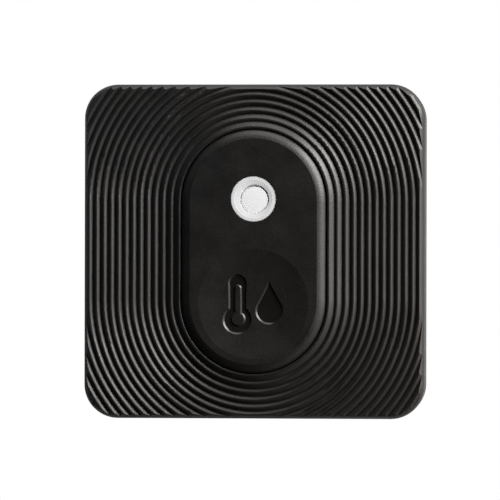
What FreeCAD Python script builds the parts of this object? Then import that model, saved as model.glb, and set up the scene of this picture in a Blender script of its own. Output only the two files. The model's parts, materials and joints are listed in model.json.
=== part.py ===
import FreeCAD, Part
import math
import os

from FreeCAD import Vector

# A wall or table sensor for temperature and humidity, in millimetres.
# The origin is the centre of the back face. +Z points out of the front, and +Y towards the window end.

os.makedirs("parts", exist_ok=True)

# Case outline, with the ridged borders beside and beyond the key
border_side = 10.43
border_end = 4.82
corner_radius = 3.6
least_corner = 0.3
same_height = 1e-6
front_edge_radius = 1.08
front_edge_lead = 0.145
back_edge_radius = 0.6
seam_height = 2.4
side_wall = 1.3

# Raised oval, which is the key
oval_arc_offset = 5.25
key_radius = 7.7
key_gap = 0.1
key_rise = 0.91
key_skin = 1.2
key_wall = 1.25
key_shoulder_width = 0.95
key_shoulder_slopes = (12.6, 54.0)
flange_width = 0.7
flange_thickness = 0.62
flange_recess = 0.45
flange_top_gap = 0.08
flange_side_gap = 0.2

# Finger dimple and its sunken mark
dimple_offset = 5.55
dimple_radius = 5.85
dimple_depth = 0.35
mark_depth = 0.16
mark_wall_lean = 1.1
tube_radius = 0.9
tube_top = 3.0
bulb_radius = 1.45
bulb_drop = 1.65
column_radius = 0.3
column_top = 1.95
bead_radius = 0.7
drop_radius = 1.42
drop_tip = 2.95
drop_sink = 0.7
mark_spread = 1.65

# Concentric ridges
pattern_gap = 0.015
ridge_pitch = 0.78
ridge_depth = 0.24
crest_round = 0.26
groove_round = 0.025
graded_ridges = 4
graded_gain = 0.065
flare_rise = 0.64
flare_width = 2.95

# Stack from back to front
door_inset = 0.1
door_thickness = 1.05
seal_gap = 0.05
cell_lift = 0.1
contact_space = 0.6
board_thickness = 0.8
screw_head_headroom = 0.25
cover_wall = 1.2

# Coin cell
cell_radius = 10.0
cell_thickness = 3.2
can_wall = 0.3
cap_stand = 0.25
cap_wall = 0.25
cap_skirt = 2.0
cell_part_gap = 0.02
gasket_width = 0.73
lithium_thickness = 0.7

# Battery well and door
door_lap = 1.05
door_gap = 0.15
door_edge_chamfer = 0.2
ledge_thickness = 0.8
spigot_wall = 1.0
cell_side_gap = 0.3
lug_reach = 0.7
lug_thickness = 0.7
lug_gap = 0.05
lug_span = 24.0
lug_count = 3
lug_side_gap = 2.0
lug_stop_span = 4.0
stop_gap = 1.0
door_turn = 30.0
well_wall = 0.8
shelf_thickness = 0.5
cup_wall = 0.8
cup_board_gap = 0.2
coin_slot_width = 2.2
coin_slot_length = 15.0
coin_slot_depth = 0.6
seal_width = 0.6
seal_depth = 0.5
seal_inset = 0.2
seal_side_gap = 0.02
pointer_length = 1.4
pointer_width = 1.8
index_mark_radius = 0.45
index_ring_bore = 0.225
index_mark_offset = 1.9
index_mark_depth = 0.15

# Rear housing
floor_thickness = 1.2
lip_gap = 0.08
lip_thickness = 0.8
lip_height = 2.0
snap_length = 5.0
snap_reach = 0.35
snap_rise = 0.6
snap_lift = 0.9
snap_gap = 0.08
snap_spread = 7.0
post_radius = 1.5
post_inset = 4.9
pin_radius = 0.65
pin_clearance = 0.05
pin_stand = 0.1

# Board and its screws
board_side_gap = 0.3
board_corner_radius = 1.2
screw_hole_radius = 0.8
screw_radius = 0.65
screw_pilot_gap = 0.03
screw_length = 3.2
screw_head_radius = 1.2
screw_head_height = 0.6
screw_head_round = 0.2
screw_slot_length = 1.5
screw_slot_width = 0.35
screw_slot_depth = 0.3

# Key hinge
hinge_from_arc = 6.25
hinge_pin_radius = 0.4
hinge_clearance = 0.05
saddle_width = 1.0
saddle_depth = 2.0
saddle_gap = 0.25
saddle_grip = 0.1

# Push switch under the dimple
switch_wall = 0.5
switch_floor = 0.15
switch_corner = 0.3
frame_plate = 0.15
frame_leg_width = 1.6
frame_leg_length = 0.5
plunger_radius = 0.95
plunger_lip = 0.35
plunger_flange_height = 0.16
plunger_clearance = 0.05
plunger_stand = 0.25
dome_radius = 1.6
dome_rise = 0.34
dome_sheet = 0.08
dome_side_gap = 0.15
nub_radius = 1.2
nub_gap = 0.05

# Window, sensor and light
window_offset = 5.55
window_radius = 2.425
window_inset = 0.05
window_fit = 0.03
window_flange_reach = 0.65
window_flange_height = 0.5
window_edge_round = 0.1
window_rim = 0.44
rim_step = 0.04
dish_depth = 0.06
opening_radius = 1.45
opening_shift = 0.18
opening_lip = 0.22
membrane_lap = 0.5
membrane_thickness = 0.15
membrane_rise = 0.08
membrane_gap = 0.06
membrane_drop = 0.03
boot_wall = 0.7
boot_radius = 2.5
boot_gap = 0.2
sensor_size = 1.5
sensor_height = 0.5
sensor_port_radius = 0.3
sensor_port_depth = 0.15
led_length = 1.6
led_width = 0.8
led_height = 0.6
led_base_height = 0.3
led_lens_inset = 0.25

# Electronics
chip_size = 4.0
chip_height = 0.85
chip_offset_x = 2.9
chip_dot_radius = 0.25
chip_dot_inset = 0.75
chip_dot_depth = 0.1
crystal_length = 2.0
crystal_width = 1.6
crystal_height = 0.6
inductor_length = 1.6
inductor_width = 0.8
inductor_height = 0.8
chip_cap_length = 1.0
chip_cap_width = 0.5
chip_cap_height = 0.45
chip_res_length = 1.0
chip_res_width = 0.5
chip_res_height = 0.32
part_spacing = 0.45
antenna_line = 0.5
antenna_step = 1.0
antenna_reach = 2.6
antenna_turns = 6
antenna_edge = 0.6
copper_height = 0.05
pad_radius = 0.5
pad_step = 1.5
pad_count = 5
pad_edge = 3.2

# Battery contacts
contact_sheet = 0.15
contact_touch = 0.05
arm_width = 2.0
arm_span = 25.0
arm_root = 1.4
arm_knee = 0.4
arm_touch_drop = 1.4
arm_tip_drop = 2.0
arm_tip_flare = 0.5
arm_window_gap = 0.5
strap_width = 1.4
finger_width = 3.0
finger_root = 6.5
finger_bend = 3.5
finger_flat = 0.6
finger_tip = 1.6
finger_tip_lift = 0.25

# Case size that follows from the key and its borders
case_width = 2 * (key_radius + border_side)
case_height = 2 * (oval_arc_offset + key_radius + border_end)

# Heights that follow from the stack
door_inner = door_inset + door_thickness
ledge_low = door_inner + seal_gap
ledge_high = ledge_low + ledge_thickness
cell_low = ledge_low + cell_lift
cell_high = cell_low + cell_thickness
board_low = cell_high + contact_space
board_high = board_low + board_thickness
cover_under = board_high + screw_head_height + screw_head_headroom
groove_floor = cover_under + cover_wall
ridge_top = groove_floor + ridge_depth
key_top = ridge_top + key_rise
key_under = key_top - key_skin
recess_top = cover_under + flange_recess
flange_high = recess_top - flange_top_gap
flange_low = flange_high - flange_thickness
lug_low = ledge_high + lug_gap
lug_high = lug_low + lug_thickness
shelf_low = lug_high + lug_gap
shelf_high = shelf_low + shelf_thickness

# Radii and places that follow from the driving sizes
hole_radius = key_radius + key_gap
inner_groove = key_radius + pattern_gap
flange_radius = key_radius + flange_width
recess_radius = flange_radius + flange_side_gap
hinge_y = oval_arc_offset + hinge_from_arc
hinge_z = cover_under
spigot_inner = cell_radius + cell_side_gap
spigot_outer = spigot_inner + spigot_wall
ledge_radius = spigot_outer + door_gap
door_radius = ledge_radius + door_lap
recess_door_radius = door_radius + door_gap
lug_radius = spigot_outer + lug_reach
lug_well_radius = lug_radius + cell_side_gap
well_radius = lug_well_radius + well_wall
cup_radius = spigot_inner + cup_wall
cap_radius = cell_radius - can_wall - gasket_width - 2 * cell_part_gap
lip_width = case_width - 2 * (side_wall + lip_gap)
lip_length = case_height - 2 * (side_wall + lip_gap)
lip_corner = max(least_corner, corner_radius - side_wall - lip_gap)
inside_width = lip_width - 2 * lip_thickness
inside_length = lip_length - 2 * lip_thickness
inside_corner = max(least_corner, lip_corner - lip_thickness)
board_width = inside_width - 2 * board_side_gap
board_length = inside_length - 2 * board_side_gap
post_x = case_width / 2 - post_inset
post_y = case_height / 2 - post_inset
screw_places = [(post_x, post_y), (-post_x, -post_y)]
pin_places = [(-post_x, post_y), (post_x, -post_y)]
switch_y = -dimple_offset
dimple_low = key_top - dimple_depth
dimple_ball_radius = (dimple_radius ** 2 + dimple_depth ** 2) / (2 * dimple_depth)
switch_well_radius = dome_radius + dome_side_gap
switch_size = 2 * (switch_well_radius + switch_wall)
plunger_low = board_high + switch_floor + dome_rise + plunger_clearance
switch_high = plunger_low + plunger_flange_height + plunger_clearance
plunger_top = switch_high + frame_plate + plunger_stand
membrane_radius = opening_radius + membrane_lap
window_top = key_top - window_inset
membrane_high = window_top - rim_step - dish_depth - opening_lip
chip_x = -chip_offset_x
chip_y = (switch_y + switch_size / 2 + window_offset - boot_radius) / 2
right_of_chip = chip_x + chip_size / 2 + part_spacing
inductor_x = right_of_chip + crystal_length + part_spacing + inductor_width / 2
overlap = 1.0


def block(width, length, low, high, x=0.0, y=0.0):
    corner = Vector(x - width / 2, y - length / 2, low)
    return Part.makeBox(width, length, high - low, corner)


def rounded_block(width, length, radius, low, high):
    plain = block(width, length, low, high)
    uprights = [e for e in plain.Edges if abs(e.Vertexes[0].Z - e.Vertexes[1].Z) > same_height]
    return plain.makeFillet(radius, uprights)


def disc(radius, low, high, x=0.0, y=0.0):
    return Part.makeCylinder(radius, high - low, Vector(x, y, low))


def ring(outer, inner, low, high, x=0.0, y=0.0):
    return disc(outer, low, high, x, y).cut(disc(inner, low, high, x, y))


def oval(radius, low, high):
    upper = disc(radius, low, high, 0, oval_arc_offset)
    lower = disc(radius, low, high, 0, -oval_arc_offset)
    middle = block(2 * radius, 2 * oval_arc_offset, low, high)
    return upper.fuse([middle, lower]).removeSplitter()


def sector(outer, inner, low, high, centre_angle, span):
    face_low = Vector(inner, 0, low)
    section = Part.makePlane(outer - inner, high - low, face_low, Vector(0, -1, 0), Vector(1, 0, 0))
    swept = section.revolve(Vector(0, 0, 0), Vector(0, 0, 1), span)
    swept.rotate(Vector(0, 0, 0), Vector(0, 0, 1), centre_angle - span / 2)
    return Part.Solid(swept) if swept.ShapeType != "Solid" else swept


def edges_at(shape, height):
    return [e for e in shape.Edges if all(abs(v.Z - height) < same_height for v in e.Vertexes)]


def polygon(points):
    return Part.Face(Part.makePolygon(points + [points[0]]))


def fuse_all(shapes):
    return shapes[0].fuse(shapes[1:]).removeSplitter()


def save(node, shapes):
    solids = shapes if isinstance(shapes, list) else [shapes]
    whole = solids[0] if len(solids) == 1 else Part.makeCompound(solids)
    whole.exportStep("parts/" + node + ".step")


# Ridged front cover

def flare(radius):
    share = max(0.0, 1 - (radius - inner_groove) / flare_width)
    return flare_rise * share ** 2


def ridge_points():
    reach = math.hypot(case_width / 2, case_height / 2 - oval_arc_offset)
    plain_flank = flank_angle((0, 0), (ridge_pitch / 2, ridge_depth))
    points = [(inner_groove, groove_floor + flare(inner_groove))]
    number = 0
    while points[-1][0] < reach:
        radius, floor = points[-1]
        gain = graded_gain * max(0.0, 1 - number / graded_ridges)
        pitch = ridge_pitch * (1 + gain)
        next_floor = groove_floor + flare(radius + pitch)
        lean = (floor - next_floor) / (2 * math.tan(plain_flank))
        points.append((radius + pitch / 2 - lean, (floor + next_floor) / 2 + ridge_depth))
        points.append((radius + pitch, next_floor))
        number += 1
    return points


def flank_angle(first, second):
    run = second[0] - first[0]
    rounds = crest_round + groove_round
    rest = rounds - abs(second[1] - first[1])
    return math.asin(rounds / math.hypot(run, rest)) - math.atan2(rest, run)


def bend_point(place, is_crest, angle):
    radius = crest_round if is_crest else groove_round
    fall = radius * (1 - math.cos(angle))
    height = place[1] - fall if is_crest else place[1] + fall
    return Vector(place[0] + radius * math.sin(angle), 0, height)


def ridge_section(low):
    points = ridge_points()
    angles = [flank_angle(a, b) for a, b in zip(points, points[1:])]
    edges = []
    previous = None
    for index, place in enumerate(points):
        is_crest = index % 2 == 1
        left = angles[index - 1] if index > 0 else 0.0
        right = angles[index] if index < len(angles) else 0.0
        start = bend_point(place, is_crest, -left)
        middle = bend_point(place, is_crest, (right - left) / 2)
        end = bend_point(place, is_crest, right)
        if previous is not None:
            edges.append(Part.LineSegment(previous, start).toShape())
        edges.append(Part.Arc(start, middle, end).toShape())
        previous = end
    first = Vector(points[0][0], 0, points[0][1])
    outer_foot = Vector(points[-1][0], 0, low)
    inner_foot = Vector(points[0][0], 0, low)
    edges.append(Part.LineSegment(previous, outer_foot).toShape())
    edges.append(Part.LineSegment(outer_foot, inner_foot).toShape())
    edges.append(Part.LineSegment(inner_foot, first).toShape())
    return Part.Face(Part.Wire(edges))


def swept_oval(section):
    up = Vector(0, 0, 1)
    upper = section.translated(Vector(0, oval_arc_offset, 0))
    upper = upper.revolve(Vector(0, oval_arc_offset, 0), up, 180)
    right = section.translated(Vector(0, -oval_arc_offset, 0))
    right = right.extrude(Vector(0, 2 * oval_arc_offset, 0))
    lower = upper.rotated(Vector(0, 0, 0), up, 180)
    left = right.rotated(Vector(0, 0, 0), up, 180)
    return upper.fuse([right, lower, left])


def collar_radius():
    # Here the flare is a quarter of the lead, so the collar's side stands clear of the ridges
    share = math.sqrt(min(1.0, front_edge_lead / flare_rise)) / 2
    return inner_groove + flare_width * (1 - share)


def case_envelope():
    top = ridge_top + front_edge_lead
    body = rounded_block(case_width, case_height, corner_radius, seam_height, top)
    outline = rounded_block(case_width, case_height, corner_radius, seam_height, key_top)
    body = body.makeFillet(front_edge_radius, edges_at(body, top))
    return body.fuse(oval(collar_radius(), seam_height, key_top).common(outline))


def saddle_inner_x():
    rise = hinge_from_arc - saddle_depth / 2
    return math.sqrt(max(0.0, recess_radius ** 2 - rise ** 2)) + saddle_gap


def hinge_end_x():
    return saddle_inner_x() + saddle_width


def hinge_root_x():
    root = flange_radius - key_wall
    return math.sqrt(max(0.0, root ** 2 - hinge_from_arc ** 2))


def hinge_rod(radius, inner, outer, side):
    rod = Part.makeCylinder(radius, outer - inner, Vector(inner, hinge_y, hinge_z), Vector(1, 0, 0))
    return rod if side > 0 else rod.mirror(Vector(0, 0, 0), Vector(1, 0, 0))


def saddle(side):
    middle = side * (saddle_inner_x() + saddle_width / 2)
    low = hinge_z - hinge_pin_radius
    return block(saddle_width, saddle_depth, low, cover_under + flange_recess / 2, middle, hinge_y)


def snap_wedge(side, y):
    low = seam_height + snap_lift
    face = side * lip_width / 2
    back = face - side * lip_thickness / 2
    start = y - snap_length / 2
    points = [Vector(back, start, low), Vector(face + side * snap_reach, start, low),
              Vector(face, start, low + snap_rise), Vector(back, start, low + snap_rise)]
    return polygon(points).extrude(Vector(0, snap_length, 0))


def snap_notch(side, y):
    low = seam_height + snap_lift - snap_gap
    high = seam_height + snap_lift + snap_rise + snap_gap
    depth = snap_reach + snap_gap + overlap
    middle = side * (lip_width / 2 + snap_reach + snap_gap - depth / 2)
    return block(depth, snap_length + 2 * snap_gap, low, high, middle, y)


def snap_places():
    return [(side, y) for side in (1, -1) for y in (snap_spread, -snap_spread)]


def front_cover():
    cover = swept_oval(ridge_section(seam_height)).common(case_envelope())
    hollow_corner = max(least_corner, corner_radius - side_wall)
    hollow = rounded_block(case_width - 2 * side_wall, case_height - 2 * side_wall, hollow_corner,
                           seam_height - overlap, cover_under)
    cover = cover.cut([hollow, oval(recess_radius, cover_under - overlap, recess_top)])
    cover = cover.cut(oval(hole_radius, cover_under, key_top + overlap))
    cover = cover.fuse([saddle(1), saddle(-1)])
    cuts = []
    for side in (1, -1):
        inner = hinge_root_x()
        outer = hinge_end_x() + hinge_clearance
        cuts.append(hinge_rod(hinge_pin_radius + hinge_clearance, inner, outer, side))
        mouth = 2 * (hinge_pin_radius - saddle_grip)
        mouth_x = side * (inner + outer) / 2
        cuts.append(block(outer - inner, mouth, hinge_z - overlap, hinge_z, mouth_x, hinge_y))
    for side, y in snap_places():
        cuts.append(snap_notch(side, y))
    return cover.cut(cuts).removeSplitter()


# Key with its dimple, window hole, flange, hinge pins and nub

def leaning_radius(radius, lean, z):
    # The outline has its own size at the dimple's lowest point, and widens upwards from there
    return radius + lean * (z - dimple_low)


def drop_wire(radius, z):
    x = mark_spread
    y = switch_y - drop_sink
    tip = drop_tip * radius / drop_radius
    angle = math.acos(radius / tip)
    right = Vector(x + radius * math.sin(angle), y + radius * math.cos(angle), z)
    left = Vector(x - radius * math.sin(angle), y + radius * math.cos(angle), z)
    point = Vector(x, y + tip, z)
    bowl = Part.Arc(right, Vector(x, y - radius, z), left).toShape()
    sides = [Part.LineSegment(left, point).toShape(), Part.LineSegment(point, right).toShape()]
    return Part.Wire([bowl] + sides)


def drop_mark(low, high):
    wires = [drop_wire(leaning_radius(drop_radius, mark_wall_lean, z), z) for z in (low, high)]
    return Part.makeLoft(wires, True, True)


def leaning_disc(radius, low, high, lean, y):
    radii = [leaning_radius(radius, lean, z) for z in (low, high)]
    return Part.makeCone(radii[0], radii[1], high - low, Vector(-mark_spread, y, low))


def leaning_bar(radius, low, high, lean, bottom, top):
    wires = []
    for z in (low, high):
        half = leaning_radius(radius, lean, z)
        left = -mark_spread - half
        right = -mark_spread + half
        corners = [Vector(left, bottom, z), Vector(right, bottom, z), Vector(right, top, z), Vector(left, top, z)]
        wires.append(Part.makePolygon(corners + [corners[0]]))
    return Part.makeLoft(wires, True, True)


def thermometer(stem_radius, stem_top, foot_radius, low, high, lean):
    foot = switch_y - bulb_drop
    top = switch_y + stem_top - stem_radius
    stem = leaning_bar(stem_radius, low, high, lean, foot, top)
    cap = leaning_disc(stem_radius, low, high, lean, top)
    bulb = leaning_disc(foot_radius, low, high, lean, foot)
    return stem.fuse([cap, bulb])


def dimple_ball(sink):
    return Part.makeSphere(dimple_ball_radius + sink, Vector(0, switch_y, dimple_low + dimple_ball_radius))


def sunken_mark():
    low = dimple_low - 2 * mark_depth
    reach = math.hypot(mark_spread + bulb_radius, bulb_drop + bulb_radius)
    high = dimple_low + reach ** 2 / (2 * dimple_ball_radius)
    glass = thermometer(tube_radius, tube_top, bulb_radius, low, high, mark_wall_lean)
    column = thermometer(column_radius, column_top, bead_radius, low, high, -mark_wall_lean)
    return glass.cut(column).fuse(drop_mark(low, high)).common(dimple_ball(mark_depth))


def key_flange():
    flange = oval(flange_radius, flange_low, flange_high)
    return flange.cut(oval(key_radius - key_wall, flange_low, flange_high))


def key_section():
    first, last = (math.radians(slope) for slope in key_shoulder_slopes)
    radius = key_shoulder_width / (math.sin(last) - math.sin(first))
    start = key_radius - key_shoulder_width
    places = []
    for slope in (first, (first + last) / 2, last):
        x = start + radius * (math.sin(slope) - math.sin(first))
        places.append(Vector(x, 0, key_top - radius * (math.cos(first) - math.cos(slope))))
    shoulder = Part.Arc(*places).toShape()
    corners = [places[-1], Vector(key_radius, 0, flange_low), Vector(0, 0, flange_low),
               Vector(0, 0, key_top), places[0]]
    sides = [Part.LineSegment(a, b).toShape() for a, b in zip(corners, corners[1:])]
    return Part.Face(Part.Wire([shoulder] + sides))


def button_key():
    body = swept_oval(key_section()).removeSplitter()
    body = body.cut(oval(key_radius - key_wall, flange_low - overlap, key_under))
    pieces = [body, key_flange()]
    for side in (1, -1):
        pieces.append(hinge_rod(hinge_pin_radius, hinge_root_x(), hinge_end_x(), side))
    pieces.append(disc(nub_radius, plunger_top + nub_gap, key_under, 0, switch_y))
    key = pieces[0].fuse(pieces[1:])
    hole = disc(window_radius + window_fit, key_under - overlap, key_top + overlap, 0, window_offset)
    seat_radius = window_radius + window_flange_reach + window_fit
    seat = disc(seat_radius, key_under - overlap, key_under + window_flange_height, 0, window_offset)
    return key.cut([hole, seat, dimple_ball(0.0), sunken_mark()]).removeSplitter()


# Window ring, membrane, sensor and light

def window_dish(low, high):
    outer = Part.Circle(Vector(0, window_offset, high), Vector(0, 0, 1), window_radius - window_rim)
    inner = Part.Circle(Vector(opening_shift, window_offset, low), Vector(0, 0, 1), opening_radius)
    wires = [Part.Wire(circle.toShape()) for circle in (inner, outer)]
    return Part.makeLoft(wires, True, True)


def window_ring():
    top = window_top
    flange_top = key_under + window_flange_height - window_fit
    flange = disc(window_radius + window_flange_reach, key_under, flange_top, 0, window_offset)
    tube = disc(window_radius, key_under, top, 0, window_offset)
    body = flange.fuse(tube.makeFillet(window_edge_round, edges_at(tube, top)))
    step = disc(window_radius - window_rim, top - rim_step, top, 0, window_offset)
    dish = window_dish(top - rim_step - dish_depth, top - rim_step)
    opening = disc(opening_radius, key_under, top, opening_shift, window_offset)
    seat = disc(membrane_radius + window_fit, key_under, membrane_high, opening_shift, window_offset)
    return body.cut([step, dish, opening, seat]).removeSplitter()


def vent_membrane():
    low = membrane_high - membrane_thickness
    top = membrane_high + membrane_rise
    edge = disc(membrane_radius, low, membrane_high, opening_shift, window_offset)
    middle = disc(opening_radius - membrane_gap, low, top, opening_shift, window_offset - membrane_drop)
    return edge.fuse(middle).removeSplitter()


def sensor_boot():
    return ring(boot_radius, boot_radius - boot_wall, board_high, key_under - boot_gap, 0, window_offset)


def humidity_sensor_chip():
    top = board_high + sensor_height
    body = block(sensor_size, sensor_size, board_high, top, 0, window_offset)
    return body.cut(disc(sensor_port_radius, top - sensor_port_depth, top, 0, window_offset))


def status_led():
    x = -(boot_radius + part_spacing + led_width / 2)
    low = block(led_width, led_length, board_high, board_high + led_base_height, x, window_offset)
    lens_length = led_length - 2 * led_lens_inset
    lens = block(led_width, lens_length, board_high, board_high + led_height, x, window_offset)
    return low.fuse(lens).removeSplitter()


# Push switch

def switch_base():
    body = rounded_block(switch_size, switch_size, switch_corner, board_high, switch_high)
    body.translate(Vector(0, switch_y, 0))
    return body.cut(disc(switch_well_radius, board_high + switch_floor, switch_high, 0, switch_y))


def switch_frame():
    top = switch_high + frame_plate
    plate = rounded_block(switch_size, switch_size, switch_corner, switch_high, top)
    plate.translate(Vector(0, switch_y, 0))
    legs = []
    for side in (1, -1):
        x = side * (switch_size + frame_plate) / 2
        legs.append(block(frame_plate, frame_leg_width, top - frame_leg_length, top, x, switch_y))
    hole = disc(plunger_radius + plunger_clearance, switch_high, top, 0, switch_y)
    return fuse_all([plate] + legs).cut(hole)


def switch_plunger():
    flange_top = plunger_low + plunger_flange_height
    flange = disc(plunger_radius + plunger_lip, plunger_low, flange_top, 0, switch_y)
    return fuse_all([flange, disc(plunger_radius, flange_top, plunger_top, 0, switch_y)])


def dome_cap(radius, rise, base):
    ball = (radius ** 2 + rise ** 2) / (2 * rise)
    sphere = Part.makeSphere(ball, Vector(0, switch_y, base + rise - ball))
    return sphere.common(disc(radius + overlap, base, base + rise + overlap, 0, switch_y))


def switch_dome():
    base = board_high + switch_floor
    return dome_cap(dome_radius, dome_rise, base).cut(
        dome_cap(dome_radius - dome_sheet, dome_rise - dome_sheet, base))


# Circuit board and what is soldered to it

def circuit_board():
    board = rounded_block(board_width, board_length, board_corner_radius, board_low, board_high)
    holes = [disc(screw_hole_radius, board_low, board_high, x, y) for x, y in screw_places]
    holes += [disc(pin_radius + pin_clearance, board_low, board_high, x, y) for x, y in pin_places]
    return board.cut(holes)


def board_screws():
    screws = []
    for x, y in screw_places:
        top = board_high + screw_head_height
        head = disc(screw_head_radius, board_high, top, x, y)
        head = head.makeFillet(screw_head_round, edges_at(head, top))
        shank = disc(screw_radius, board_high - screw_length, board_high, x, y)
        screw = head.fuse(shank).removeSplitter()
        bars = [(screw_slot_length, screw_slot_width), (screw_slot_width, screw_slot_length)]
        cross = [block(w, l, top - screw_slot_depth, top + overlap, x, y) for w, l in bars]
        screws.append(screw.cut(cross))
    return screws


def radio_chip():
    top = board_high + chip_height
    body = block(chip_size, chip_size, board_high, top, chip_x, chip_y)
    dot_x = chip_x - chip_size / 2 + chip_dot_inset
    dot_y = chip_y + chip_size / 2 - chip_dot_inset
    return body.cut(disc(chip_dot_radius, top - chip_dot_depth, top, dot_x, dot_y))


def crystals():
    x = right_of_chip + crystal_length / 2
    step = (crystal_width + part_spacing) / 2
    top = board_high + crystal_height
    return [block(crystal_length, crystal_width, board_high, top, x, chip_y + step * side)
            for side in (1, -1)]


def inductor():
    top = board_high + inductor_height
    return block(inductor_width, inductor_length, board_high, top, inductor_x, chip_y)


def small_parts(length, width, height, places):
    return [block(length, width, board_high, board_high + height, x, y) for x, y in places]


def capacitors():
    step = chip_cap_length + part_spacing
    side_x = chip_x - chip_size / 2 - part_spacing - chip_cap_width / 2
    coil_y = inductor_length / 2 + part_spacing + chip_cap_width / 2
    beside = [(side_x, chip_y + step * n) for n in (-1, 0, 1)]
    near_coil = [(inductor_x, chip_y + coil_y * side) for side in (1, -1)]
    parts = small_parts(chip_cap_width, chip_cap_length, chip_cap_height, beside)
    parts += small_parts(chip_cap_length, chip_cap_width, chip_cap_height, near_coil)
    return parts


def resistors():
    by_switch = switch_size / 2 + frame_plate + part_spacing + chip_res_width / 2
    by_boot = boot_radius + part_spacing + chip_res_width / 2
    step = chip_res_length / 2 + part_spacing / 2
    places = [(by_boot, window_offset + step * side) for side in (1, -1)]
    places += [(by_switch * side, switch_y) for side in (1, -1)]
    return small_parts(chip_res_width, chip_res_length, chip_res_height, places)


def antenna():
    left = -board_width / 2 + antenna_edge
    top = board_high + copper_height
    bars = []
    for number in range(antenna_turns + 1):
        y = (number - antenna_turns / 2) * antenna_step
        bars.append(block(antenna_reach, antenna_line, board_high, top, left + antenna_reach / 2, y))
        if number < antenna_turns:
            shift = antenna_line / 2 if number % 2 else antenna_reach - antenna_line / 2
            link_y = y + antenna_step / 2
            bars.append(block(antenna_line, antenna_step, board_high, top, left + shift, link_y))
    return fuse_all(bars)


def test_pads():
    x = board_width / 2 - pad_edge
    top = board_high + copper_height
    return [disc(pad_radius, board_high, top, x, (n - (pad_count - 1) / 2) * pad_step)
            for n in range(pad_count)]


# Battery contacts of bent sheet

def offset_side(points, distance):
    directions = [(b - a).normalize() for a, b in zip(points, points[1:])]
    normals = [Vector(-d.z, 0, d.x) for d in directions]
    moved = [points[0] + normals[0] * distance]
    for before, after, place in zip(normals, normals[1:], points[1:-1]):
        middle = before + after
        moved.append(place + middle * (2 * distance / middle.dot(middle)))
    moved.append(points[-1] + normals[-1] * distance)
    return moved


def bent_strip(route, width):
    points = [Vector(x, 0, z) for x, z in route]
    outline = offset_side(points, contact_sheet / 2) + offset_side(points, -contact_sheet / 2)[::-1]
    strip = polygon(outline).extrude(Vector(0, width, 0))
    strip.translate(Vector(0, -width / 2, 0))
    return strip


def positive_contact():
    touch = cell_radius + contact_touch + contact_sheet / 2
    root = cell_radius + arm_root
    route = [(root, board_low), (root, board_low - arm_knee), (touch, board_low - arm_touch_drop),
             (touch + arm_tip_flare, board_low - arm_tip_drop)]
    pieces = []
    for side in (1, -1):
        arm = bent_strip(route, arm_width)
        arm.rotate(Vector(0, 0, 0), Vector(0, 0, 1), side * arm_span)
        pieces.append(arm)
    inner = root - strap_width / 2
    strap = sector(inner + strap_width, inner, board_low - contact_sheet, board_low, 0, 2 * arm_span)
    return fuse_all([strap] + pieces)


def negative_contact():
    high = board_low - contact_sheet / 2
    low = cell_high + contact_touch + contact_sheet / 2
    route = [(-finger_root, high), (-finger_bend, high), (-finger_flat, low), (finger_flat, low),
             (finger_tip, low + finger_tip_lift)]
    return bent_strip(route, finger_width)


# Coin cell

def cell_can():
    top = cell_high - cap_stand
    can = disc(cell_radius, cell_low, top)
    can = can.makeFillet(can_wall, edges_at(can, cell_low) + edges_at(can, top))
    inside = disc(cell_radius - can_wall, cell_low + can_wall, top - can_wall)
    mouth = disc(cap_radius + cell_part_gap, cell_low + can_wall, top + overlap)
    return can.cut([inside, mouth])


def cell_cap():
    cap = disc(cap_radius, cell_high - cap_skirt, cell_high)
    cap = cap.makeFillet(cap_wall, edges_at(cap, cell_high))
    return cap.cut(disc(cap_radius - cap_wall, cell_high - cap_skirt, cell_high - cap_wall))


def cell_gasket():
    inner = cap_radius + cell_part_gap
    low = cell_low + can_wall + cell_part_gap
    high = cell_high - cap_stand - can_wall - cell_part_gap
    return ring(inner + gasket_width, inner, low, high)


def lithium_low():
    return cell_high - cap_wall - cell_part_gap - lithium_thickness


def cell_lithium():
    top = lithium_low() + lithium_thickness
    return disc(cap_radius - cap_wall - cell_part_gap, lithium_low(), top)


def cell_cathode():
    radius = cap_radius - cap_wall - cell_part_gap
    return disc(radius, cell_low + can_wall + cell_part_gap, lithium_low() - cell_part_gap)


# Twist-off battery door

def seal_ring(grow):
    outer = door_radius - seal_inset
    inner = outer - seal_width
    return outer + grow, inner - grow


def lug_angles():
    return [90 + number * 360 / lug_count for number in range(lug_count)]


def battery_door():
    flange = disc(door_radius, door_inset, door_inner)
    flange = flange.makeChamfer(door_edge_chamfer, edges_at(flange, door_inset))
    spigot = ring(spigot_outer, spigot_inner, door_inner, lug_high)
    lugs = []
    for locked in lug_angles():
        lugs.append(sector(lug_radius, spigot_inner, lug_low, lug_high, locked, lug_span))
    door = flange.fuse([spigot] + lugs)
    outer, inner = seal_ring(0.0)
    groove = ring(outer, inner, door_inner - seal_depth, door_inner)
    bar = block(coin_slot_length, coin_slot_width, 0, door_inset + coin_slot_depth)
    slot = bar.common(disc(coin_slot_length / 2, 0, door_inset + coin_slot_depth))
    return door.cut([groove, slot, door_pointer()]).removeSplitter()


def door_pointer():
    tip = -(door_radius - 2 * door_edge_chamfer)
    foot = tip + pointer_length
    points = [Vector(0, tip, 0), Vector(pointer_width / 2, foot, 0), Vector(-pointer_width / 2, foot, 0)]
    return polygon(points).extrude(Vector(0, 0, door_inset + index_mark_depth))


def door_seal():
    outer, inner = seal_ring(-seal_side_gap)
    return ring(outer, inner, door_inner - seal_depth, ledge_low - seal_side_gap)


# Rear housing

def battery_well():
    column = disc(well_radius, 0, shelf_high)
    cup = disc(cup_radius, shelf_high, board_low - cup_board_gap)
    return column.fuse(cup)


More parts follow.
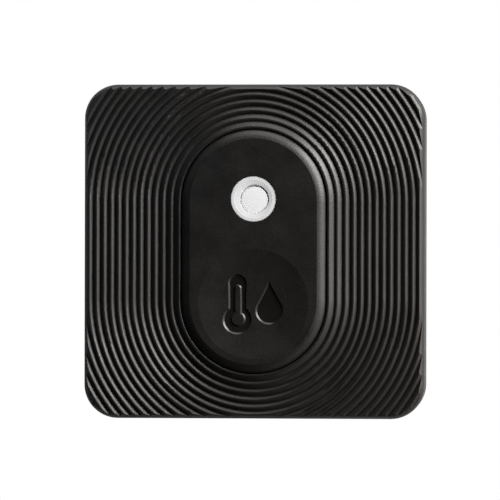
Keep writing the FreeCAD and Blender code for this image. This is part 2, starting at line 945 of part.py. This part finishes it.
def well_cuts():
    cuts = [disc(recess_door_radius, -overlap, ledge_low),
            disc(ledge_radius, ledge_low - overlap, ledge_high + overlap),
            disc(spigot_inner, 0, board_low)]
    notch_span = lug_span + 2 * lug_side_gap
    groove = ring(lug_well_radius, spigot_inner, ledge_high, shelf_low)
    stops = []
    for locked in lug_angles():
        notch = locked - door_turn
        cuts.append(sector(lug_well_radius, spigot_inner, ledge_low - overlap, shelf_low, notch, notch_span))
        stop = notch - notch_span / 2 - lug_stop_span / 2
        stops.append(sector(lug_well_radius, ledge_radius, ledge_high, shelf_low, stop, lug_stop_span))
        stop = locked + lug_span / 2 + stop_gap + lug_stop_span / 2
        stops.append(sector(lug_well_radius, ledge_radius, ledge_high, shelf_low, stop, lug_stop_span))
    cuts.append(groove.cut(stops))
    return cuts


def arm_windows():
    windows = []
    for side in (1, -1):
        width = arm_width + 2 * arm_window_gap
        reach = cup_wall + well_wall + overlap
        low = board_low - arm_tip_drop - arm_window_gap
        window = block(reach, width, low, board_low, spigot_inner + reach / 2 - overlap / 2)
        window.rotate(Vector(0, 0, 0), Vector(0, 0, 1), side * arm_span)
        windows.append(window)
    return windows


def index_marks():
    reach = door_radius + index_mark_offset
    marks = []
    for turn, inner in ((0, 0.0), (-door_turn, index_ring_bore)):
        angle = math.radians(-90 + turn)
        x = reach * math.cos(angle)
        y = reach * math.sin(angle)
        mark = disc(index_mark_radius, -overlap, index_mark_depth, x, y)
        marks.append(mark.cut(disc(inner, -overlap, index_mark_depth, x, y)) if inner else mark)
    return marks


def rear_housing():
    tray = rounded_block(case_width, case_height, corner_radius, 0, seam_height)
    tray = tray.makeFillet(back_edge_radius, edges_at(tray, 0))
    lip = rounded_block(lip_width, lip_length, lip_corner, floor_thickness, seam_height + lip_height)
    hollow = rounded_block(inside_width, inside_length, inside_corner, floor_thickness,
                           seam_height + lip_height + overlap)
    shell = tray.fuse(lip).cut(hollow)
    posts = [disc(post_radius, floor_thickness / 2, board_low, x, y) for x, y in screw_places + pin_places]
    pins = [disc(pin_radius, board_low - overlap, board_high + pin_stand, x, y) for x, y in pin_places]
    snaps = [snap_wedge(side, y) for side, y in snap_places()]
    housing = shell.fuse([battery_well()] + posts + pins + snaps)
    pilot = screw_radius + screw_pilot_gap
    holes = [disc(pilot, board_high - screw_length - screw_pilot_gap, board_low, x, y)
             for x, y in screw_places]
    return housing.cut(well_cuts() + arm_windows() + index_marks() + holes).removeSplitter()


save("front_cover", front_cover())
save("button_key", button_key())
save("window_ring", window_ring())
save("vent_membrane", vent_membrane())
save("sensor_boot", sensor_boot())
save("humidity_sensor_chip", humidity_sensor_chip())
save("status_led", status_led())
save("switch_base", switch_base())
save("switch_frame", switch_frame())
save("switch_plunger", switch_plunger())
save("switch_dome", switch_dome())
save("circuit_board", circuit_board())
save("board_screws", board_screws())
save("radio_chip", radio_chip())
save("crystals", crystals())
save("inductor", inductor())
save("capacitors", capacitors())
save("resistors", resistors())
save("antenna", antenna())
save("test_pads", test_pads())
save("positive_contact", positive_contact())
save("negative_contact", negative_contact())
save("cell_can", cell_can())
save("cell_cap", cell_cap())
save("cell_gasket", cell_gasket())
save("cell_lithium", cell_lithium())
save("cell_cathode", cell_cathode())
save("battery_door", battery_door())
save("door_seal", door_seal())
save("rear_housing", rear_housing())
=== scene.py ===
import json
import math

import bmesh
import bpy
from mathutils import Matrix, Vector


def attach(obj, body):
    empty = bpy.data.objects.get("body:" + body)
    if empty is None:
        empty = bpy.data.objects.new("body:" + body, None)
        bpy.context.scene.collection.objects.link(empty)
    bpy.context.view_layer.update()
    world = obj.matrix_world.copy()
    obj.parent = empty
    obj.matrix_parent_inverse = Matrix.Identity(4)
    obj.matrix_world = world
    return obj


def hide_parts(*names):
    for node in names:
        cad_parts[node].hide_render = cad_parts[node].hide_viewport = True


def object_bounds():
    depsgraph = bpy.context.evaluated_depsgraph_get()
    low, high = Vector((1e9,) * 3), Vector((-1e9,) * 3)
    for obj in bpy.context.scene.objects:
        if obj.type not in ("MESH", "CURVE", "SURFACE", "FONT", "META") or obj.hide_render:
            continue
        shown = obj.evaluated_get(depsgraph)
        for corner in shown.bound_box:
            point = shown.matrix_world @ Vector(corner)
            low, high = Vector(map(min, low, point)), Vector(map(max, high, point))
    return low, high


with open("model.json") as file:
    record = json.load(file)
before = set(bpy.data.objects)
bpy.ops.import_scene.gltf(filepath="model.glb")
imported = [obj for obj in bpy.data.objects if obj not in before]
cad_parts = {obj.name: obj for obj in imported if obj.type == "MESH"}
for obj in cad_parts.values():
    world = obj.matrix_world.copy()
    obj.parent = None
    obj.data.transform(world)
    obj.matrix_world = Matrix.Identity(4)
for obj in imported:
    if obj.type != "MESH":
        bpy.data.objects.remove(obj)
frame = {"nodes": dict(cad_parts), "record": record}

cad_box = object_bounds()

MM = 0.001
case_low, case_high = cad_box

# The photograph's square frame in pixels, and where the middle of the key's top lies in it
PHOTO_SIDE = 500
KEY_CENTRE_PX = (253.16, 251.4)
PX_PER_MM = 9.44

# Camera, square on but for a small turn to the object's right and a slight roll
CAMERA_TURN = math.radians(3.98)
CAMERA_DROP = math.radians(0.2)
CAMERA_ROLL = math.radians(0.12)
CAMERA_DISTANCE = 440 * MM
CLIP_START, CLIP_END = 10 * MM, 10.0
SENSOR = 36.0

# Colours, linear
CASE_BLACK = (0.0034, 0.0033, 0.0033, 1)
# Warm colour used for random warm blotches and for a painted warm light towards the lower right
CASE_WARM_AND_PAINTED_LIGHT = (0.0060, 0.0043, 0.0032, 1)
CASE_GLOSS_TINT = (1.0, 0.965, 0.94, 1)
WINDOW_WHITE = (0.74, 0.74, 0.74, 1)
WINDOW_HAZE = (0.77, 0.77, 0.77, 1)
MEMBRANE_WHITE = (0.895, 0.895, 0.895, 1)
MEMBRANE_SHADE = (0.88, 0.88, 0.88, 1)
LACQUER_GREEN = (0.008, 0.075, 0.030, 1)
TRACK_GREEN = (0.020, 0.16, 0.065, 1)
RESIN_YELLOW = (0.80, 0.74, 0.42, 1)
RESIN_PALE = (0.90, 0.88, 0.70, 1)
FLOOR_WHITE = (0.70, 0.70, 0.70, 1)
WHITE = (1, 1, 1, 1)
BLACK = (0, 0, 0, 1)

# The black plastic: its grain's size and depth in millimetres, the range of its roughness,
# and how far from the upper left corner its painted warm light starts and is full
GRAIN_SIZE = 0.16
GRAIN_DEPTH = 0.008
CASE_ROUGHNESS = (0.405, 0.505)
CASE_SPECULAR = 0.587
PAINTED_LIGHT_START, PAINTED_LIGHT_FULL = 8 * MM, 48 * MM

# The dimple in the key's lower half, cut by a large ball. The mark sunken into it is the part
# that lies lower than the ball by the margin, and no farther from the dimple's middle than the
# reach. Its roughness and grain are these shares of the key's.
DIMPLE_MIDDLE = Vector((0, -5.55 * MM, case_high.z - 0.35 * MM))
DIMPLE_BALL = 49.064 * MM
MARK_REACH = 4.7 * MM
MARK_MARGIN = 0.012 * MM
MARK_ROUGHNESS = 0.78
MARK_GRAIN = 0.3

# Most of a noise texture's values lie between these two
NOISE_LOW, NOISE_HIGH = 0.3, 0.7

# Faces that meet at a smaller angle than this are shaded as one smooth surface
SHARP_EDGE = math.radians(32)

# The turned pieces, in millimetres: how far the ring's middle lies above the case's middle in
# the picture, and how far its recess is shifted to the right
RING_MIDDLE = 5.55
RECESS_SHIFT = 0.13

# Steps round a full turn and round a corner, and the share of a side that a corner may take
ROUND_STEPS = 160
CORNER_STEPS = 8
LONGEST_CUT = 0.48

# The floor's half side, its level just under the case, and the hole below the case
FLOOR_REACH = 4.0
FLOOR_LEVEL = -0.02 * MM
HOLE_INSET = 0.9 * MM
HOLE_CORNER = 2.0 * MM

# Lights: their distance, the two sizes of softbox, the world's faint glow, and the strength
# of the white that the camera sees round the object
LIGHT_DISTANCE = 0.5
SOFTBOX = (0.35, 0.27)
TALL_SOFTBOX = (0.35, 0.37)
WORLD_GLOW = 0.026
BACKGROUND_GLOW = 1.0


# Node helpers

class Nodes:
    """A material's node tree, with short calls for the nodes that the materials share."""

    def __init__(self, name):
        self.material = bpy.data.materials.new(name)
        self.material.use_nodes = True
        self.tree = self.material.node_tree
        self.shader = self.tree.nodes["Principled BSDF"]
        self.place = self.add("ShaderNodeTexCoord").outputs["Object"]

    def add(self, kind, **values):
        node = self.tree.nodes.new(kind)
        for key, value in values.items():
            setattr(node, key, value)
        return node

    def link(self, source, target):
        self.tree.links.new(source, target)

    def set(self, **values):
        """Sets the shader's sockets, which are named with underscores for spaces."""
        for key, value in values.items():
            self.shader.inputs[key.replace("_", " ")].default_value = value

    def scaled(self, scale):
        """Object coordinates times scale, in cycles per millimetre along each axis."""
        mapping = self.add("ShaderNodeMapping")
        mapping.inputs["Scale"].default_value = [s / MM for s in scale]
        self.link(self.place, mapping.inputs["Vector"])
        return mapping.outputs["Vector"]

    def noise(self, per_mm, detail=2.0, roughness=0.5, stretch=(1, 1, 1)):
        node = self.add("ShaderNodeTexNoise")
        node.inputs["Scale"].default_value = 1.0
        node.inputs["Detail"].default_value = detail
        node.inputs["Roughness"].default_value = roughness
        self.link(self.scaled([per_mm * s for s in stretch]), node.inputs["Vector"])
        return node.outputs["Fac"]

    def cells(self, per_mm):
        node = self.add("ShaderNodeTexVoronoi")
        node.inputs["Scale"].default_value = 1.0
        self.link(self.scaled([per_mm] * 3), node.inputs["Vector"])
        return node.outputs["Distance"]

    def ranged(self, source, low, high, from_low=0.0, from_high=1.0):
        """Maps from_low to low and from_high to high, and holds what lies beyond at the ends."""
        node = self.add("ShaderNodeMapRange")
        node.inputs["From Min"].default_value = from_low
        node.inputs["From Max"].default_value = from_high
        node.inputs["To Min"].default_value = low
        node.inputs["To Max"].default_value = high
        self.link(source, node.inputs["Value"])
        return node.outputs["Result"]

    def spread(self, noise, low, high):
        """Maps the values that a noise texture mostly has onto low to high."""
        return self.ranged(noise, low, high, NOISE_LOW, NOISE_HIGH)

    def math(self, operation, first, second):
        node = self.add("ShaderNodeMath", operation=operation)
        for socket, value in zip(node.inputs, (first, second)):
            if isinstance(value, (int, float)):
                socket.default_value = value
            else:
                self.link(value, socket)
        return node.outputs["Value"]

    def mixed(self, factor, first, second):
        """A colour between two colours."""
        node = self.add("ShaderNodeMix", data_type="RGBA")
        self.link(factor, node.inputs["Factor"])
        # The mix node has its colour sockets at 6 and 7, and its colour result at 2
        node.inputs[6].default_value = first
        node.inputs[7].default_value = second
        return node.outputs[2]

    def bump(self, height, depth_mm):
        node = self.add("ShaderNodeBump")
        node.inputs["Distance"].default_value = depth_mm * MM
        node.inputs["Strength"].default_value = 1.0
        self.link(height, node.inputs["Height"])
        return node.outputs["Normal"]

    def distance(self, point):
        node = self.add("ShaderNodeVectorMath", operation="DISTANCE")
        self.link(self.place, node.inputs[0])
        node.inputs[1].default_value = point
        return node.outputs["Value"]

    def finish(self, colour, normal, roughness=None):
        """Links the shader's inputs. Without a roughness, the shader keeps the one that is set."""
        self.link(colour, self.shader.inputs["Base Color"])
        if roughness is not None:
            self.link(roughness, self.shader.inputs["Roughness"])
        self.link(normal, self.shader.inputs["Normal"])
        return self.material


def solid(colour, share=1.0):
    """A colour of three values with each one times share, as a socket takes it."""
    return (*[value * share for value in colour], 1)


# Materials

def sunken_mark_area(nodes):
    """1 on the mark's surfaces, below the dimple's bowl and near its middle, and 0 elsewhere."""
    ball_middle = DIMPLE_MIDDLE + Vector((0, 0, DIMPLE_BALL))
    below = nodes.math("GREATER_THAN", nodes.distance(ball_middle), DIMPLE_BALL + MARK_MARGIN)
    near = nodes.math("LESS_THAN", nodes.distance(DIMPLE_MIDDLE), MARK_REACH)
    return nodes.math("MULTIPLY", below, near)


def moulded_plastic(name, mark=False):
    """Black plastic from a spark-eroded mould: a fine even grain and faint handling marks.

    A warm tone comes in random blotches. A painted warm light, lighter as well as warmer, grows
    away from the case's upper left corner. In the sunken mark the plastic is smoother.
    """
    nodes = Nodes(name)
    corner = nodes.distance((case_low.x, case_high.y, case_high.z))
    # Random warm blotches, plus painted warm light: warmer and lighter away from the upper left
    # corner
    blotches_and_painted_light = nodes.math("ADD", nodes.spread(nodes.noise(0.09, detail=3), -0.3, 0.3),
                         nodes.ranged(corner, 0, 1, PAINTED_LIGHT_START, PAINTED_LIGHT_FULL))
    colour = nodes.mixed(nodes.ranged(blotches_and_painted_light, 0, 1), CASE_BLACK, CASE_WARM_AND_PAINTED_LIGHT)
    grain = nodes.noise(1 / GRAIN_SIZE, detail=3, roughness=0.6)
    pits = nodes.cells(0.7 / GRAIN_SIZE)
    handling = nodes.noise(0.35, detail=4, roughness=0.6)
    roughness = nodes.math("ADD", nodes.spread(handling, *CASE_ROUGHNESS),
                           nodes.spread(grain, -0.04, 0.04))
    texture = nodes.math("ADD", grain, nodes.math("MULTIPLY", pits, 0.8))
    if mark:
        area = sunken_mark_area(nodes)
        roughness = nodes.math("MULTIPLY", roughness, nodes.ranged(area, 1.0, MARK_ROUGHNESS))
        texture = nodes.math("MULTIPLY", texture, nodes.ranged(area, 1.0, MARK_GRAIN))
    nodes.set(IOR=1.5, Specular_IOR_Level=CASE_SPECULAR, Specular_Tint=CASE_GLOSS_TINT)
    return nodes.finish(colour, nodes.bump(texture, GRAIN_DEPTH), roughness)


def window_plastic():
    """White plastic, slightly hazy."""
    nodes = Nodes("window_plastic")
    colour = nodes.mixed(nodes.noise(0.6, detail=3), WINDOW_WHITE, WINDOW_HAZE)
    nodes.set(IOR=1.49)
    return nodes.finish(colour, normal=nodes.bump(nodes.noise(3.0, detail=1), depth_mm=0.0002),
                        roughness=nodes.spread(nodes.noise(2.0, detail=3), 0.44, 0.56))


def membrane_felt():
    """A white breathing sheet of fine fibres."""
    nodes = Nodes("membrane_felt")
    fibres = nodes.noise(14.0, detail=4, roughness=0.7)
    colour = nodes.mixed(nodes.ranged(fibres, 0, 1, 0.35, 0.65), MEMBRANE_WHITE, MEMBRANE_SHADE)
    nodes.set(IOR=1.4, Roughness=0.5)
    return nodes.finish(colour, normal=nodes.bump(fibres, depth_mm=0.0004))


def soft_rubber(name, colour):
    """Matte rubber or soft plastic with a fine grain."""
    nodes = Nodes(name)
    grain = nodes.noise(6.0, detail=3)
    return nodes.finish(nodes.mixed(grain, solid(colour), solid(colour, 1.35)),
                        normal=nodes.bump(grain, depth_mm=0.004),
                        roughness=nodes.spread(grain, 0.62, 0.78))


def solder_mask():
    """Green board lacquer over copper, with the tracks showing as slightly raised lighter bands."""
    nodes = Nodes("solder_mask")
    bricks = nodes.add("ShaderNodeTexBrick")
    for socket, value in (("Scale", 1.0), ("Mortar Size", 0.035),
                          ("Color1", BLACK), ("Color2", BLACK), ("Mortar", WHITE)):
        bricks.inputs[socket].default_value = value
    nodes.link(nodes.scaled((0.5, 0.5, 0.5)), bricks.inputs["Vector"])
    tracks = bricks.outputs["Color"]
    nodes.set(IOR=1.5, Coat_Weight=0.4, Coat_Roughness=0.12)
    return nodes.finish(nodes.mixed(tracks, LACQUER_GREEN, TRACK_GREEN),
                        normal=nodes.bump(tracks, depth_mm=0.02),
                        roughness=nodes.spread(nodes.noise(3.0), 0.25, 0.38))


def moulded_epoxy(name, colour):
    """The black body of a chip."""
    nodes = Nodes(name)
    grain = nodes.noise(12.0, detail=3)
    return nodes.finish(nodes.mixed(grain, solid(colour), solid(colour, 1.5)),
                        normal=nodes.bump(grain, depth_mm=0.003),
                        roughness=nodes.spread(grain, 0.5, 0.66))


def rolled_metal(name, colour, rough=(0.18, 0.34)):
    """Sheet metal with the fine parallel scratches of the rolling mill."""
    nodes = Nodes(name)
    scratches = nodes.noise(8.0, detail=4, roughness=0.7, stretch=(0.15, 3.0, 1.0))
    stain = nodes.ranged(nodes.noise(0.5, detail=3), 0, 1, 0.35, 0.65)
    nodes.set(Metallic=1.0)
    return nodes.finish(nodes.mixed(stain, solid(colour), solid(colour, 0.86)),
                        normal=nodes.bump(scratches, depth_mm=0.0012),
                        roughness=nodes.spread(scratches, *rough))


def speckled(name, first, second):
    """Fired or pressed powder with specks of a second colour."""
    nodes = Nodes(name)
    specks = nodes.cells(10.0)
    return nodes.finish(nodes.mixed(specks, solid(first), solid(second)),
                        normal=nodes.bump(specks, depth_mm=0.004),
                        roughness=nodes.ranged(specks, 0.5, 0.7))


def led_resin():
    """Clear resin filled with pale yellow phosphor grains."""
    nodes = Nodes("led_resin")
    specks = nodes.cells(20.0)
    nodes.set(IOR=1.5, Subsurface_Weight=0.3, Subsurface_Scale=0.2 * MM)
    return nodes.finish(nodes.mixed(specks, RESIN_YELLOW, RESIN_PALE),
                        normal=nodes.bump(specks, depth_mm=0.001),
                        roughness=nodes.ranged(specks, 0.15, 0.3))


materials = {
    "case_black": moulded_plastic("case_plastic"),
    "key_black": moulded_plastic("key_plastic", mark=True),
    "window_white": window_plastic(),
    "membrane_white": membrane_felt(),
    "seal_rubber": soft_rubber("seal_rubber_look", (0.018, 0.018, 0.019)),
    "boot_rubber": soft_rubber("boot_rubber_look", (0.040, 0.040, 0.043)),
    "board_green": solder_mask(),
    "chip_black": moulded_epoxy("chip_epoxy", (0.013, 0.013, 0.015)),
    "ceramic_tan": speckled("capacitor_ceramic", (0.30, 0.19, 0.10), (0.42, 0.30, 0.18)),
    "ceramic_black": speckled("resistor_ceramic", (0.012, 0.012, 0.014), (0.05, 0.05, 0.055)),
    "led_white": led_resin(),
    "copper_gold": rolled_metal("gold_plating", (0.85, 0.62, 0.30)),
    "steel_bright": rolled_metal("nickel_plating", (0.66, 0.65, 0.63)),
    "steel_screw": rolled_metal("black_zinc", (0.09, 0.09, 0.10), rough=(0.3, 0.45)),
    "cell_steel": rolled_metal("cell_steel_look", (0.62, 0.62, 0.63), rough=(0.22, 0.36)),
    "gasket_nylon": soft_rubber("gasket_nylon_look", (0.42, 0.44, 0.47)),
    "cathode_black": speckled("cathode_powder", (0.010, 0.010, 0.011), (0.04, 0.04, 0.04)),
    "lithium_grey": rolled_metal("lithium_foil", (0.50, 0.51, 0.53), rough=(0.35, 0.5)),
}


# The CAD nodes get their materials and smooth shading

def dress(mesh, node):
    """Gives a mesh the material of the node's slot, and shades it smooth up to its sharp edges."""
    mesh.materials.append(materials[slot_of[node]])
    mesh.shade_smooth()
    mesh.set_sharp_from_angle(angle=SHARP_EDGE)


slot_of = {s["node"]: s["material_slot"] for s in frame["record"]["subparts"]}
for name, part in frame["nodes"].items():
    part.data.materials.clear()
    dress(part.data, name)


# The window ring and its membrane again, with many more steps round them than the CAD meshes have

def softened(corners, closed):
    """The line through the corners, with each corner rounded.

    A corner is its radius, its height, its share of the recess's shift, and its rounding.
    """
    line = []
    last = len(corners) - 1
    for index, corner in enumerate(corners):
        here = Vector(corner[:3])
        if not closed and index in (0, last):
            line.append(here)
            continue
        before = Vector(corners[index - 1][:3]) - here
        after = Vector(corners[(index + 1) % len(corners)][:3]) - here
        cut = min(corner[3], before.length * LONGEST_CUT, after.length * LONGEST_CUT)
        start, end = here + before.normalized() * cut, here + after.normalized() * cut
        for step in range(CORNER_STEPS + 1):
            share = step / CORNER_STEPS
            line.append(start * (1 - share) ** 2 + here * (2 * share * (1 - share))
                        + end * share ** 2)
    return line


def turned_piece(name, node, corners, closed, drop=0.0):
    """Turns the softened line about the ring's middle, and puts the piece in the node's place.

    The piece's middle lies lower than the ring's by drop. A line that isn't closed gets a flat
    face across each end.
    """
    line = softened(corners, closed)
    verts, faces = [], []
    for turn in range(ROUND_STEPS):
        angle = 2 * math.pi * turn / ROUND_STEPS
        for radius, height, share in line:
            verts.append(((radius * math.cos(angle) + share * RECESS_SHIFT) * MM,
                          (radius * math.sin(angle) + RING_MIDDLE - drop) * MM, height * MM))
    count = len(line)
    for turn in range(ROUND_STEPS):
        here, there = turn * count, (turn + 1) % ROUND_STEPS * count
        for index in range(count if closed else count - 1):
            after = (index + 1) % count
            faces.append((here + index, here + after, there + after, there + index))
    if not closed:
        faces.append(tuple(turn * count for turn in range(ROUND_STEPS)))
        faces.append(tuple(turn * count + count - 1 for turn in reversed(range(ROUND_STEPS))))
    mesh = bpy.data.meshes.new(name)
    mesh.from_pydata(verts, [], faces)
    mesh.validate()
    shape = bmesh.new()
    shape.from_mesh(mesh)
    bmesh.ops.recalc_face_normals(shape, faces=shape.faces)
    shape.to_mesh(mesh)
    shape.free()
    dress(mesh, node)
    piece = bpy.data.objects.new(name, mesh)
    bpy.context.scene.collection.objects.link(piece)
    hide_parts(node)
    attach(piece, "key")


# The ring's line runs up its outside, over its top, and down inside, under an overhanging lip
turned_piece("window_ring_turned", "window_ring", [
    (3.075, 7.90, 0, 0.05), (3.075, 8.37, 0, 0.05), (2.425, 8.37, 0, 0.02), (2.425, 9.05, 0, 0.12),
    (1.985, 9.05, 0, 0.03), (1.955, 9.04, 0, 0.03), (1.52, 9.02, 1, 0.04), (1.60, 8.73, 1, 0.01),
    (1.98, 8.73, 1, 0.01), (1.98, 7.90, 1, 0.03)], closed=True)
# The membrane's line runs out over its raised disc, and back below its thin rim
turned_piece("vent_membrane_turned", "vent_membrane", [
    (0.25, 8.96, 1, 0), (1.41, 8.96, 1, 0.06), (1.42, 8.67, 1, 0.01), (1.53, 8.67, 1, 0.01),
    (1.55, 8.73, 1, 0.01), (1.87, 8.73, 1, 0.02), (1.87, 8.58, 1, 0.02), (0.25, 8.58, 1, 0)],
    closed=False, drop=0.10)


# Floor and lights

def white_to_camera(tree, shader):
    """Shows plain white as in a cut-out picture, while the object is lit by the shader given."""
    path = tree.nodes.new("ShaderNodeLightPath")
    white = tree.nodes.new("ShaderNodeEmission")
    white.inputs["Color"].default_value = WHITE
    white.inputs["Strength"].default_value = BACKGROUND_GLOW
    mix = tree.nodes.new("ShaderNodeMixShader")
    tree.links.new(path.outputs["Is Camera Ray"], mix.inputs["Fac"])
    tree.links.new(shader, mix.inputs[1])
    tree.links.new(white.outputs["Emission"], mix.inputs[2])
    return mix.outputs["Shader"]


def floor_paper():
    """Pale paper from above, and clear from below."""
    nodes = Nodes("floor_paper")
    nodes.set(Base_Color=FLOOR_WHITE, Roughness=0.9)
    one_sided = nodes.add("ShaderNodeMixShader")
    nodes.link(nodes.add("ShaderNodeNewGeometry").outputs["Backfacing"], one_sided.inputs["Fac"])
    nodes.link(white_to_camera(nodes.tree, nodes.shader.outputs["BSDF"]), one_sided.inputs[1])
    nodes.link(nodes.add("ShaderNodeBsdfTransparent").outputs["BSDF"], one_sided.inputs[2])
    nodes.link(one_sided.outputs["Shader"], nodes.tree.nodes["Material Output"].inputs["Surface"])
    return nodes.material


def floor():
    """A sheet of paper with a hole under the case, so that the back can be lit from below."""
    half_x = case_high.x - HOLE_INSET - HOLE_CORNER
    half_y = case_high.y - HOLE_INSET - HOLE_CORNER
    hole, edge = [], []
    for quarter, (sign_x, sign_y) in enumerate(((1, 1), (-1, 1), (-1, -1), (1, -1))):
        for step in range(CORNER_STEPS + 1):
            angle = math.pi / 2 * (quarter + step / CORNER_STEPS)
            x = sign_x * half_x + HOLE_CORNER * math.cos(angle)
            y = sign_y * half_y + HOLE_CORNER * math.sin(angle)
            outward = FLOOR_REACH / max(abs(x), abs(y))
            hole.append((x, y, FLOOR_LEVEL))
            edge.append((x * outward, y * outward, FLOOR_LEVEL))
    count = len(hole)
    faces = [(i, count + i, count + (i + 1) % count, (i + 1) % count) for i in range(count)]
    mesh = bpy.data.meshes.new("floor")
    mesh.from_pydata(hole + edge, [], faces)
    mesh.materials.append(floor_paper())
    sheet = bpy.data.objects.new("floor", mesh)
    bpy.context.scene.collection.objects.link(sheet)


def area_light(name, azimuth, elevation, size, watts):
    """A softbox that faces the middle of the case's foot, its direction given in degrees."""
    data = bpy.data.lights.new(name, "AREA")
    data.shape = "RECTANGLE"
    data.size, data.size_y = size
    data.energy = watts
    light = bpy.data.objects.new(name, data)
    bpy.context.scene.collection.objects.link(light)
    a, e = math.radians(azimuth), math.radians(elevation)
    direction = Vector((math.cos(a) * math.cos(e), math.sin(a) * math.cos(e), math.sin(e)))
    light.location = direction * LIGHT_DISTANCE
    light.rotation_mode = "QUATERNION"
    light.rotation_quaternion = direction.to_track_quat("Z", "Y")


def studio():
    """A strong light from the upper right, faint ones all round, and two below for the back."""
    area_light("key_softbox", 31, 18, TALL_SOFTBOX, 6.55)
    area_light("upper_card", 87, 15.5, TALL_SOFTBOX, 1.35)
    area_light("right_card", 345, 20, TALL_SOFTBOX, 0.49)
    area_light("lower_card", 300, 25, SOFTBOX, 0.15)
    area_light("left_card", 150, 25, SOFTBOX, 0.08)
    area_light("under_card", 30, -60, SOFTBOX, 4.0)
    area_light("under_fill_card", 210, -65, SOFTBOX, 1.0)
    world = bpy.data.worlds.new("studio")
    world.use_nodes = True
    tree = world.node_tree
    background = tree.nodes["Background"]
    background.inputs["Color"].default_value = WHITE
    background.inputs["Strength"].default_value = WORLD_GLOW
    tree.links.new(white_to_camera(tree, background.outputs["Background"]),
                   tree.nodes["World Output"].inputs["Surface"])
    bpy.context.scene.world = world


floor()
studio()


# Camera

def camera():
    """Puts the middle of the key's top where the photograph has it, at the photograph's scale."""
    data = bpy.data.cameras.new("camera")
    cam = bpy.data.objects.new("camera", data)
    bpy.context.scene.collection.objects.link(cam)
    level = math.cos(CAMERA_DROP)
    back = Vector((math.sin(CAMERA_TURN) * level, -math.sin(CAMERA_DROP),
                   math.cos(CAMERA_TURN) * level))
    right = Vector((0, 1, 0)).cross(back).normalized()
    up = back.cross(right)
    right, up = (right * math.cos(CAMERA_ROLL) + up * math.sin(CAMERA_ROLL),
                 up * math.cos(CAMERA_ROLL) - right * math.sin(CAMERA_ROLL))
    pixel = MM / PX_PER_MM
    off_x = (KEY_CENTRE_PX[0] - PHOTO_SIDE / 2) * pixel
    off_y = (KEY_CENTRE_PX[1] - PHOTO_SIDE / 2) * pixel
    aim = Vector((0, 0, case_high.z)) - right * off_x + up * off_y
    cam.location = aim + back * CAMERA_DISTANCE
    cam.rotation_mode = "QUATERNION"
    cam.rotation_quaternion = Matrix((right, up, back)).transposed().to_quaternion()
    data.sensor_width = SENSOR
    data.lens = SENSOR * CAMERA_DISTANCE / (PHOTO_SIDE * pixel)
    data.clip_start, data.clip_end = CLIP_START, CLIP_END
    bpy.context.scene.camera = cam


camera()

bpy.context.scene.view_settings.view_transform = "Standard"
